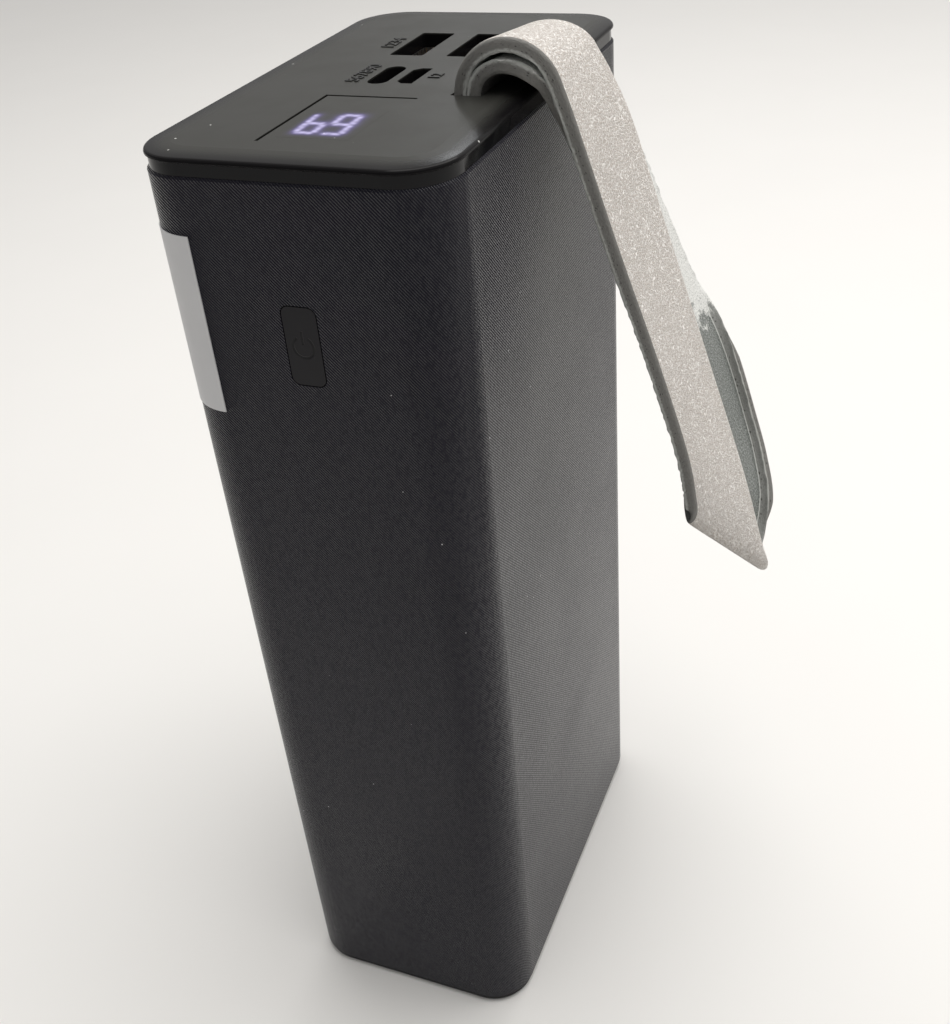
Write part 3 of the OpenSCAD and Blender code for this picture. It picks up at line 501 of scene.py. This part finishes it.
def printed_mark(name, text, centre, size):
    """A number lying on the cover, turned so that its top points to -X."""
    curve = bpy.data.curves.new(name, "FONT")
    curve.body, curve.size, curve.align_x, curve.align_y = text, size * MM, "CENTER", "CENTER"
    curve.extrude, curve.offset = MARK_DEPTH * MM, MARK_SPREAD * MM
    letter = bpy.data.objects.new(name + "_text", curve)
    bpy.context.scene.collection.objects.link(letter)
    bpy.context.view_layer.update()
    mesh = bpy.data.meshes.new_from_object(letter.evaluated_get(bpy.context.evaluated_depsgraph_get()))
    bpy.data.objects.remove(letter)
    co = np.zeros(len(mesh.vertices) * 3)
    mesh.vertices.foreach_get("co", co)
    co = co.reshape(-1, 3) / MM
    turned = np.stack([-co[:, 1] + centre[0], co[:, 0] + centre[1], co[:, 2] + cover_top + MARK_LIFT], 1)
    made = bpy.data.meshes.new(name)
    made.from_pydata((turned * MM).tolist(), [], [list(p.vertices) for p in mesh.polygons])
    piece = bpy.data.objects.new(name, made)
    bpy.context.scene.collection.objects.link(piece)
    made.materials.append(ink)
    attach(piece, "housing")
    return piece


ink = moulded("printed_ink", (0.008, 0.008, 0.008), (0.02, 0.02, 0.02), 4.0, 0.5, 0.004)
socket = {name: (np.array(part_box(name)[0]) + np.array(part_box(name)[1])) / 2 / MM
          for name in ("usb_a_tongue_left", "usb_c_shell", "micro_usb_shell")}
marks = [printed_mark(name, text, (socket[beside][0] + right, socket[beside][1] + up), size)
         for name, text, beside, right, up, size in (
             ("mark_one", "1234", "usb_a_tongue_left", -4.75, 0.0, 2.9),
             ("mark_two", "567890", "usb_c_shell", -3.65, 0.4, 2.9),
             ("mark_three", "12", "micro_usb_shell", 3.4, 0.0, 2.5))]
print("marks", [len(m.data.polygons) for m in marks])

# %% [markdown]
# ## The leather strap: its path
#
# One strip of leather comes up through the slot, over the crest, hangs down, folds over on a slant and comes
# back up behind itself. The simplest true description is a ribbon: a list of stations, each with a point on
# the near edge and one on the far edge. The crest is two arches of unlike height, because the far side is
# pulled flatter. A Catmull-Rom curve through the stations keeps them all and stays smooth.

# %% Stations of the strap
STRAP_WIDTH, STRAP_THICK = 20.4, 1.9
side_x = float(body_high[0])
slot_x = side_x - 8.2
near_y, far_y = 1.2 - STRAP_WIDTH / 2, 1.2 + STRAP_WIDTH / 2
bend_z = cover_top - 0.4
outer_x, inner_x = slot_x - 1.0, slot_x + 1.0
OUTER_BEND, INNER_BEND = 6.8, 4.05


def arch(angles, x, near, far_x, far, slide):
    """Near and far points of an elliptic arch at these angles, shifted along Y by slide."""
    c, s = np.cos(np.radians(angles)), np.sin(np.radians(angles))
    near_edge = np.stack([x + near[0] * c, near_y + slide, bend_z + near[1] * s], 1)
    far_edge = np.stack([far_x + far[0] * c, far_y + slide, bend_z + far[1] * s], 1)
    return np.stack([near_edge, far_edge], 1)


def outer_arch(angles):
    return arch(angles, outer_x + OUTER_BEND, (OUTER_BEND, OUTER_BEND), outer_x + 6.1, (6.1, 4.2), 0 * angles)


def inner_arch(angles):
    wide = np.where(angles > 90, 0.0, 1.45)
    wide_far = np.where(angles > 90, 0.0, 0.2)
    return arch(angles, inner_x + INNER_BEND, (INNER_BEND + wide, INNER_BEND), inner_x + INNER_BEND,
                (INNER_BEND + wide_far, 2.2), 2 * np.maximum(0, 1 - angles / 45))


# Offsets from the body's side, from the near or far end of the slot, and from the flat top
FRONT_DROP = [
    [[5.5, 0, -2.2], [4.7, 0, -2.4]], [[7.6, 0, -8.5], [7.8, 0, -9]], [[11.6, 0, -20.5], [12.5, 0, -23]],
    [[17.2, 0, -36.5], [19.6, 0, -44]], [[21.6, 0, -50.4], [26.6, 0, -65]], [[23.1, 0, -58.2], [30.6, 0, -79]],
    [[23.2, 0.1, -60.6], [31.8, 1.2, -83.6]], [[22.7, 1.9, -62.4], [30.8, 3.2, -85.2]]]
BACK_DROP = [
    [[23.7, 4.6, -62.3], [31.3, 5.2, -84.4]], [[23.2, 6.4, -61.3], [31.1, 7.2, -81]],
    [[23.3, 8, -59.4], [31.1, 9.2, -75]], [[22.8, 10.4, -57], [29.4, 10.2, -68]],
    [[21.9, 12.3, -53.8], [27.2, 10.6, -61]], [[20.0, 11.8, -46.6], [23.9, 10.2, -50.4]],
    [[18.0, 10.4, -40.2], [21, 9, -42.4]], [[14.9, 8, -31.5], [16.8, 6.8, -33]],
    [[11.9, 6.5, -22.2], [13, 5.5, -23.2]], [[9.7, 5.4, -15.4], [10.3, 4.6, -16]],
    [[7.4, 4.6, -8.8], [7.5, 3.8, -9.2]], [[5.4, 3.2, -3.2], [4.8, 2.8, -3.4]]]


def strap_stations():
    """All stations in order, from the foot of the outer layer to the foot of the inner one."""
    ends = np.array([[side_x, near_y, cover_top], [side_x, far_y, cover_top]])
    front = np.array(FRONT_DROP) + ends
    back = np.array(BACK_DROP) + ends - [STRAP_THICK, 0, 0]
    down = np.array([[[0, 0, -9.1]] * 2, [[0, 0, -5.0]] * 2])
    start = outer_arch(np.array([180.0]))
    finish = inner_arch(np.array([180.0]))
    return np.concatenate([start + down, outer_arch(np.linspace(180, 17, 15)), front, back,
                           inner_arch(np.linspace(12, 180, 13)), finish + down[::-1]])


def catmull_rom(stations, per_span):
    """Curve through every station: each span is a cubic of its four nearest stations."""
    padded = np.concatenate([stations[:1], stations, stations[-1:]])
    a, b, c, d = (padded[k:len(padded) - 3 + k][:, None] for k in range(4))
    t = (np.arange(per_span) / per_span)[None, :, None, None]
    spans = 0.5 * (2 * b + (c - a) * t + (2 * a - 5 * b + 4 * c - d) * t**2 + (3 * b - a - 3 * c + d) * t**3)
    return np.concatenate([spans.reshape(-1, 2, 3), stations[-1:]])


def evenly(ribbon, step):
    """The same ribbon at equal steps along its middle line, with the distance of each step."""
    middle = ribbon.mean(1)
    run = np.concatenate([[0], np.cumsum(np.linalg.norm(np.diff(middle, axis=0), axis=1))])
    at = np.linspace(0, run[-1], int(run[-1] / step) + 1)
    flat = ribbon.reshape(len(ribbon), 6)
    return np.stack([np.interp(at, run, flat[:, k]) for k in range(6)], 1).reshape(-1, 2, 3), at


ribbon, strap_run = evenly(catmull_rom(strap_stations(), 24), 0.45)
print("strap length", round(float(strap_run[-1]), 1), "mm in", len(ribbon), "rings")

# %% [markdown]
# ## The leather strap: its body
#
# The ribbon has no thickness yet. A closed outline goes round it at every ring: the grain side, a cut edge, the
# flesh side and the other cut edge. The corners are slightly rounded on the grain side, and the flesh side's
# corners are frayed. Every point keeps its place in the leather, across, along and through, as an attribute,
# so that the grain follows the strip round the fold.

# %% Outline and rings
def leather_outline():
    """Points round the strip as (share across, height through, zone); zone 0 grain, 1 cut edge, 2 flesh."""
    half, r = STRAP_THICK / 2, 0.4
    corner = np.radians(np.linspace(90, 0, 4))
    edge_x, edge_h = STRAP_WIDTH - r + r * np.cos(corner), half - r + r * np.sin(corner)
    wall = np.linspace(half - r, -half, 7)[1:-1]
    far = np.concatenate([np.stack([edge_x, edge_h], 1), np.stack([np.full(5, STRAP_WIDTH), wall], 1)])
    near = far[::-1] * [-1, 1] + [STRAP_WIDTH, 0]
    grain = np.stack([np.linspace(r, STRAP_WIDTH - r, 52)[1:-1], np.full(50, half)], 1)
    flesh = np.stack([np.linspace(STRAP_WIDTH, 0, 44), np.full(44, -half)], 1)
    points = np.concatenate([near[-1:], grain, far, flesh, near[:-1]])
    zone = np.concatenate([[0], np.zeros(50), [0], np.ones(8), np.full(43, 2), np.ones(1 + 8)])
    return points, zone.astype(int)


CURL_RADIUS = 2.2


def unit(vectors):
    return vectors / np.linalg.norm(vectors, axis=-1, keepdims=True)


def strap_mesh(name, ribbon, run):
    """Ring point = near + share * (far - near) + height * normal, where normal is at right angles to both the run
    and the ruling. Past the fold the far edge curls in by up to 90 degrees: share and height there follow an arc of
    CURL_RADIUS. The flesh corners are roughened by seeded noise."""
    outline, zone = leather_outline()
    rng = np.random.default_rng(7)
    share, height = outline[:, 0] / STRAP_WIDTH, outline[:, 1]
    tangent = np.gradient(ribbon, axis=0)
    ruling = ribbon[:, 1] - ribbon[:, 0]
    normal_near, normal_far = (unit(np.cross(tangent[:, k], ruling)) for k in (0, 1))
    middle = unit(np.cross(tangent.mean(1), ruling))
    blend_near, blend_far = (unit(0.35 * n + 0.65 * middle) for n in (normal_near, normal_far))
    past = np.arange(len(ribbon)) > np.argmin(ribbon[:, 1, 2])
    up = ribbon[:, 1, 2] / cover_top
    curl = past * np.clip((up - 0.475) / 0.05, 0, 1) * np.clip((0.77 - up) / 0.08, 0, 1)
    bend = np.maximum(curl, 1e-4)[:, None] / CURL_RADIUS
    start = STRAP_WIDTH - CURL_RADIUS * np.pi / 2
    turn = bend * np.clip(outline[:, 0] - start, 0, None)[None]
    share = (np.minimum(outline[:, 0], start)[None] + np.sin(turn) / bend + height * np.sin(turn)) / STRAP_WIDTH
    height = height * np.cos(turn) - (1 - np.cos(turn)) / bend
    flat = ribbon[:, 0][:, None] * (1 - share)[..., None] + ribbon[:, 1][:, None] * share[..., None]
    normal = unit(blend_near[:, None] * (1 - share)[..., None] + blend_far[:, None] * share[..., None])
    curled, share, height = height - outline[:, 1], outline[:, 0] / STRAP_WIDTH, outline[:, 1]
    fray = rng.normal(0, 1, (len(ribbon), len(share)))
    fray = (fray + np.roll(fray, 1, 0)) / 2
    from_edge = np.minimum(share, 1 - share) * STRAP_WIDTH
    frayed = np.clip((-height - 0.55) / 0.4, 0, 1) * np.clip(1 - from_edge / 1.2, 0, 1)
    crown = np.where(height > 0, -0.12 * np.clip(1 - from_edge / 1.6, 0, 1) ** 2, 0)
    thick = height[None] + curled + crown[None] + fray * frayed[None] * 0.13
    across = fray * frayed[None] * 0.12 * np.where(share < 0.5, -1, 1)[None]
    points = flat + normal * thick[..., None] + unit(ruling)[:, None] * across[..., None]
    rings, count = len(ribbon), len(share)
    index = np.arange(rings * count).reshape(rings, count)
    after = np.roll(index, -1, 1)
    quads = np.stack([index[:-1], index[1:], after[1:], after[:-1]], -1).reshape(-1, 4)
    mesh = bpy.data.meshes.new(name)
    mesh.from_pydata((points.reshape(-1, 3) * MM).tolist(), [],
                     quads.tolist() + [index[0].tolist(), index[-1][::-1].tolist()])
    skin = np.stack(np.broadcast_arrays(outline[None, :, 0], run[:, None], height[None]), -1)
    attribute = mesh.attributes.new("skin", "FLOAT_VECTOR", "POINT")
    attribute.data.foreach_set("vector", skin.astype(np.float32).ravel())
    mesh.polygons.foreach_set("material_index", np.concatenate([np.tile(zone, rings - 1), [1, 1]]).astype(np.int32))
    mesh.polygons.foreach_set("use_smooth", np.ones(len(mesh.polygons), bool))
    mesh.update()
    piece = bpy.data.objects.new(name, mesh)
    bpy.context.scene.collection.objects.link(piece)
    return piece


strap = strap_mesh("leather_strap", ribbon, strap_run)
fold_at = float(strap_run[np.argmin(ribbon.mean(1)[:, 2])])
print("strap", len(strap.data.polygons), "faces; the fold is at", round(fold_at, 1), "mm")

# %% [markdown]
# ## The leather strap: its finishes
#
# Grain leather is a skin of small pebbles with fine valleys between them, which Voronoi cells describe well;
# near the fold the skin wrinkles and the valleys run together into lines along the strip. The flesh side is a
# short nap, so it is a coarse noise with sheen. The cut edge shows the section: a tight darker layer under the
# grain and loose pale fibres towards the flesh. All three read the strap's own coordinates, so that a pattern
# can begin or end at a distance from the fold.

# %% Leather finishes
def skin_place(f, scale=(1, 1, 1)):
    """The point's place in the leather in millimetres: across, along, through."""
    where = f.add("Attribute", attribute_name="skin", out="Vector")
    return f.add("VectorMath", {0: where, 1: scale}, operation="MULTIPLY")


def grain_leather():
    """Pebbles from cell distance at two sizes, bent by noise, with paler valleys; lines along the strip near the
    fold; the last stretch before the slot is painted dark, as painted shade under the crest."""
    f = Finish("grain_leather", (0.6, 0.545, 0.49), 0.5, Specular_IOR_Level=0.35, Sheen_Weight=0.08)
    where = skin_place(f)
    swirl = f.add("TexNoise", {"Vector": where, "Scale": 1.4}, out="Color")
    half_swirl = f.add("VectorMath", {0: swirl, 1: (0.5, 0.5, 0.5)}, operation="MULTIPLY")
    bent = f.add("VectorMath", {0: where, 1: half_swirl}, operation="ADD")
    pebbles = f.add("TexVoronoi", {"Vector": bent, "Scale": 2.1}, out="Distance", feature="DISTANCE_TO_EDGE")
    small = f.add("TexVoronoi", {"Vector": bent, "Scale": 4.4}, out="Distance", feature="DISTANCE_TO_EDGE")
    valleys = f.math("MINIMUM", f.ramp(pebbles, 0.01, 0.22), f.ramp(small, 0.0, 0.25, 0.45, 1.0))
    fold = f.ramp(f.math("ABSOLUTE", f.math("SUBTRACT", f.part(where, "Y"), fold_at)), 4.0, 30.0, 1.0, 0.0)
    lines = f.noise(skin_place(f, (2.6, 0.35, 1.0)), 1.0, 4.0, 0.6)
    creases = f.ramp(f.math("ABSOLUTE", f.math("SUBTRACT", lines, 0.5)), 0.0, 0.05, 0.0, 1.0)
    height = f.math("MINIMUM", valleys, f.math("ADD", creases, f.math("SUBTRACT", 1.0, fold)))
    blotch = f.noise(where, 0.22, 3.0)
    pits = f.ramp(f.noise(where, 3.4, 3.0, 0.65), 0.56, 0.68)
    ground = f.mix(blotch, (0.57, 0.475, 0.4), (0.68, 0.605, 0.535))
    toned = f.mix(f.math("MULTIPLY", pits, 0.7), ground, (0.36, 0.27, 0.22))
    colour = f.mix(height, (1.0, 0.97, 0.93), toned)
    close = f.ramp(f.math("ABSOLUTE", f.math("SUBTRACT", f.part(where, "Y"), fold_at)), 1.0, 13.0, 0.3, 0.0)
    colour = f.mix(close, colour, (0.34, 0.3, 0.26))
    # Painted shade: the inner layer's last stretch before the slot lies in shadow under the crest, so its colour is
    # made dark.
    painted_shade_at_slot = f.ramp(f.part(where, "Y"), float(strap_run[-1]) - 26, float(strap_run[-1]) - 17)
    colour = f.mix(painted_shade_at_slot, colour, (0.1, 0.095, 0.09))
    return f.finish(Base_Color=colour, Roughness=f.ramp(height, 0.2, 1.0, 0.62, 0.46),
                    Normal=f.bump(height, 0.2, 1.0, f.bump(blotch, 0.3)))


def flesh_suede():
    """Short nap: fine noise for fibres, slow noise for brushed patches. Past the fold the suede is painted darker, as
    painted shade inside the loop, up to a ragged end; beyond it the suede is painted paler, as painted light. In the
    painted shade the border is pared, with a pale line along it and a row of pits. inset is the distance from the far
    edge."""
    f = Finish("flesh_suede", (0.32, 0.34, 0.32), 0.9, Sheen_Weight=0.35, Sheen_Roughness=0.5)
    where = skin_place(f)
    nap = f.noise(where, 3.2, 4.0, 0.7)
    brushed = f.noise(where, 0.3, 2.0)
    colour = f.mix(f.ramp(nap, 0.35, 0.7), (0.3, 0.32, 0.3), (0.56, 0.58, 0.55))
    colour = f.mix(f.math("MULTIPLY", brushed, 0.4), colour, (0.6, 0.61, 0.58))
    along = f.math("ADD", f.part(where, "Y"), f.math("MULTIPLY", nap, 6.0))
    ragged = f.math("ADD", along, f.math("MULTIPLY", f.noise(where, 0.55, 3.0), 14.0))
    starts, ends = f.ramp(along, fold_at - 8, fold_at + 4), f.ramp(ragged, fold_at + 47, fold_at + 51, 1.0, 0.0)
    # Painted shade: from just before the fold up to a ragged end the suede is coloured dark.
    painted_shade_past_fold = f.math("MULTIPLY", starts, ends)
    # Painted light: beyond the ragged end the suede is coloured paler.
    pale = f.ramp(along, fold_at + 30, fold_at + 36)
    colour = f.mix(pale, colour, f.mix(f.ramp(nap, 0.3, 0.6), (0.5, 0.51, 0.48), (0.86, 0.86, 0.83)))
    # The dark tone of that painted shade.
    dark = f.mix(f.ramp(nap, 0.42, 0.6), (0.07, 0.08, 0.072), (0.27, 0.29, 0.27))
    inset = f.math("SUBTRACT", STRAP_WIDTH, f.math("ADD", f.part(where, "X"), f.math("MULTIPLY", nap, 0.3)))
    band = f.mix(f.ramp(nap, 0.3, 0.7), (0.2, 0.205, 0.19), (0.3, 0.305, 0.29))
    holes = f.add("TexVoronoi", {"Vector": skin_place(f, (1.0, 1.6, 1.0)), "Scale": 1.0}, out="Distance")
    holes = f.math("MULTIPLY", f.ramp(holes, 0.2, 0.4, 1.0, 0.0), f.ramp(inset, 1.1, 1.3))
    band = f.mix(holes, band, (0.05, 0.05, 0.045))
    band = f.mix(f.ramp(inset, 1.85, 1.95), band, (0.62, 0.63, 0.6))
    pared = f.math("MULTIPLY", f.ramp(inset, 2.1, 2.25, 1.0, 0.0), painted_shade_past_fold)
    return f.finish(Base_Color=f.mix(pared, f.mix(painted_shade_past_fold, colour, dark), band), Normal=f.bump(nap, 0.16, 0.9))


def cut_edge():
    """Section through the hide: dark and smooth near the grain, pitted, with pale fibres at the flesh corner."""
    f = Finish("cut_edge", (0.16, 0.16, 0.15), 0.75)
    through = f.part(skin_place(f), "Z")
    pits = f.add("TexVoronoi", {"Vector": skin_place(f, (2.0, 1.3, 2.2)), "Scale": 1.3}, out="Distance")
    fibres = f.noise(skin_place(f, (2.0, 1.6, 3.5)), 1.0, 4.0, 0.7)
    uneven = f.math("ADD", through, f.math("MULTIPLY", f.math("SUBTRACT", fibres, 0.5), 0.9))
    loose = f.ramp(uneven, -0.75, -0.35, 1.0, 0.0)
    tight = f.mix(fibres, (0.15, 0.147, 0.135), (0.27, 0.265, 0.25))
    deep = f.math("MULTIPLY", f.ramp(pits, 0.12, 0.3, 1.0, 0.0), f.ramp(through, 0.1, 0.4, 1.0, 0.0))
    pitted = f.mix(deep, tight, (0.045, 0.043, 0.04))
    return f.finish(Base_Color=f.mix(f.math("MULTIPLY", loose, 0.85), pitted, (0.55, 0.56, 0.53)),
                    Normal=f.bump(fibres, 0.25, 0.9))


for material in (grain_leather(), cut_edge(), flesh_suede()):
    strap.data.materials.append(material)
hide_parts("strap_root", "strap_loop")
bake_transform(strap)
print("strap finishes", [m.name for m in strap.data.materials])

# %% [markdown]
# ## Floor and light
#
# The floor is plain and pale. Most of the light is a soft sky that is brightest behind and above the object and
# dim towards the viewer, which is what keeps the narrow face dark while the wide one mirrors the floor. A large
# soft panel adds a direction to it.

# %% Floor, sky and panels
def pale_floor():
    f = Finish("pale_floor", (0.83, 0.82, 0.8), 0.6, Specular_IOR_Level=0.2)
    slow = f.noise(f.place((0.02, 0.02, 0.02)), 1.0, 2.0)
    return f.finish(Base_Color=f.mix(slow, (0.82, 0.81, 0.79), (0.84, 0.83, 0.81)))


def add_floor(half=3.0):
    mesh = bpy.data.meshes.new("floor")
    mesh.from_pydata([(-half, -half, 0), (half, -half, 0), (half, half, 0), (-half, half, 0)], [], [(0, 1, 2, 3)])
    floor = bpy.data.objects.new("floor", mesh)
    bpy.context.scene.collection.objects.link(floor)
    mesh.materials.append(pale_floor())
    floor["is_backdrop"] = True


def add_panel(name, position, target, size, power, colour=(1, 1, 1)):
    """A soft area light at position that faces target, in metres."""
    light = bpy.data.lights.new(name, "AREA")
    light.shape, light.size, light.size_y = "RECTANGLE", size[0], size[1]
    light.energy, light.color = power, colour
    lamp = bpy.data.objects.new(name, light)
    bpy.context.scene.collection.objects.link(lamp)
    back = unit(np.subtract(position, target).astype(float))
    right = unit(np.cross([0, 0, 1.0], back))
    matrix = np.eye(4)
    matrix[:3, :3] = np.stack([right, np.cross(back, right), back], 1)
    matrix[:3, 3] = position
    lamp.matrix_world = Matrix(matrix.tolist())
    return lamp


def add_sky(bright, dim, towards, low, high):
    """Sky colour rises from dim to bright by smoothstep of the dot product of the direction with towards."""
    world = bpy.data.worlds.new("studio_sky")
    world.use_nodes = True
    nodes, links = world.node_tree.nodes, world.node_tree.links
    where = nodes.new("ShaderNodeTexCoord")
    slope = nodes.new("ShaderNodeVectorMath")
    slope.operation = "DOT_PRODUCT"
    slope.inputs[1].default_value = towards
    blend = nodes.new("ShaderNodeMapRange")
    blend.interpolation_type = "SMOOTHSTEP"
    blend.inputs[1].default_value, blend.inputs[2].default_value = low, high
    tone = nodes.new("ShaderNodeMix")
    tone.data_type = "RGBA"
    tone.inputs[6].default_value, tone.inputs[7].default_value = (*dim, 1), (*bright, 1)
    links.new(where.outputs["Generated"], slope.inputs[0])
    links.new(slope.outputs["Value"], blend.inputs[0])
    links.new(blend.outputs[0], tone.inputs[0])
    links.new(tone.outputs[2], nodes["Background"].inputs["Color"])
    bpy.context.scene.world = world


add_floor()
add_sky(bright=(0.72, 0.71, 0.695), dim=(0.165, 0.165, 0.17), towards=(0.2, 0.3, 0.93), low=-0.1, high=0.9)
add_panel("overhead_panel", position=(0.15, 0.2, 0.8), target=(0.14, 0.19, 0), size=(0.8, 0.8), power=5.8,
          colour=(1.0, 0.985, 0.965))
add_panel("window_panel", position=(-0.5, 1.32, 0.8), target=(0, 0, 0.16), size=(0.12, 0.16), power=0.25,
          colour=(0.95, 0.98, 1.0))
bpy.context.scene.view_settings.view_transform = "Standard"

# %% [markdown]
# ## Size
#
# The box round everything that is drawn, the floor left out, is measured and its size printed.
# The visual model must stay inside the CAD model's box.

# %% Finish
low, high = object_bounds()
print("size in mm", np.round((np.array(high) - np.array(low)) / MM, 2))
